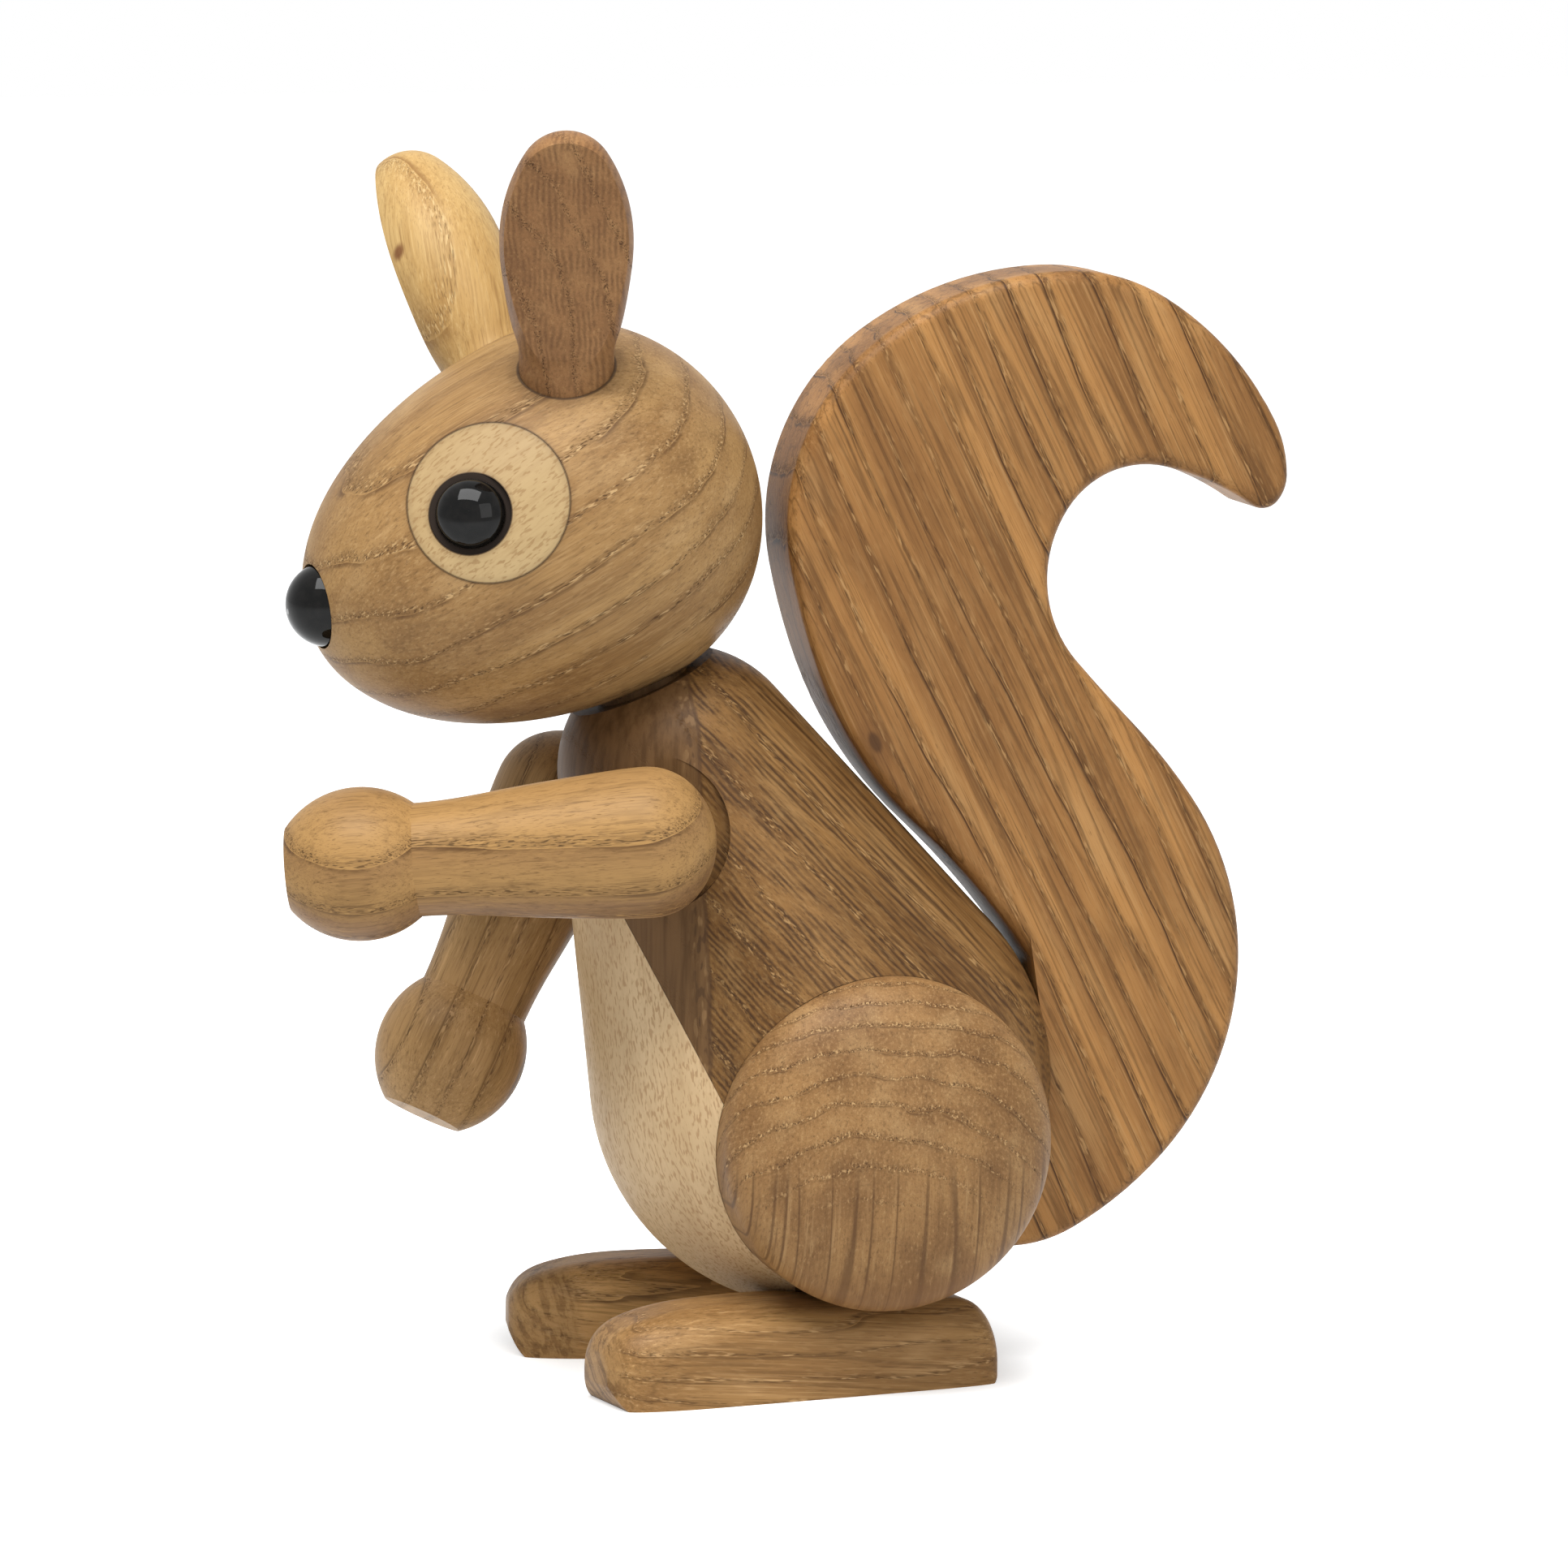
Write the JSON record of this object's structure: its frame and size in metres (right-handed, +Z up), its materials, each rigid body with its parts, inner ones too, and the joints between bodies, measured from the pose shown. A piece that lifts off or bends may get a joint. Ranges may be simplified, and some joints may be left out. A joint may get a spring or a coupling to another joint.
{
  "type": "squirrel figurine",
  "caption": "Turned wooden squirrel figurine sitting up on flat feet, with a turning egg-shaped head, swinging arms and a tall S-shaped tail.",
  "frame": {"origin": "on the table, under the middle of the figure's bounding box", "axes": "+Z up, the nose points to -Y, the squirrel's left side is +X"},
  "size_m": [0.068, 0.1317, 0.1591],
  "materials": {
    "oak": "satin oil",
    "maple": "satin oil",
    "dowel": "bare",
    "black_gloss": "polished"
  },
  "bodies": {
    "torso": {"body": "oak", "belly": "maple", "neck_peg": "dowel", "thigh_left": "oak", "thigh_right": "oak", "thigh_dowel_left": "dowel", "thigh_dowel_right": "dowel", "foot_left": "oak", "foot_right": "oak", "foot_dowel_left": "dowel", "foot_dowel_right": "dowel", "tail": "oak", "tail_dowel_upper": "dowel", "tail_dowel_lower": "dowel"},
    "head": {"head": "oak", "nose": "black_gloss", "eye_disc_left": "maple", "eye_disc_right": "maple", "eye_left": "black_gloss", "eye_right": "black_gloss", "ear_left": "oak", "ear_right": "oak"},
    "arm_left": {"arm_left": "oak", "shoulder_peg_left": "dowel"},
    "arm_right": {"arm_right": "oak", "shoulder_peg_right": "dowel"}
  },
  "joints": [
    {"name": "head_turn", "type": "hinge", "parent": "torso", "child": "head", "pos_m": [0, -0.01178, 0.07698], "axis": [0, -0.4115, 0.9114], "range_deg": [-97.5, 82.5]},
    {"name": "arm_left_swing", "type": "hinge", "parent": "torso", "child": "arm_left", "pos_m": [0.0228, -0.0215, 0.0709], "axis": [0.9563, -0.2924, 0], "range_deg": [-12, 56]},
    {"name": "arm_right_swing", "type": "hinge", "parent": "torso", "child": "arm_right", "pos_m": [-0.0228, -0.0215, 0.0709], "axis": [0.9563, 0.2924, 0], "range_deg": [-69, 0]}
  ]
}
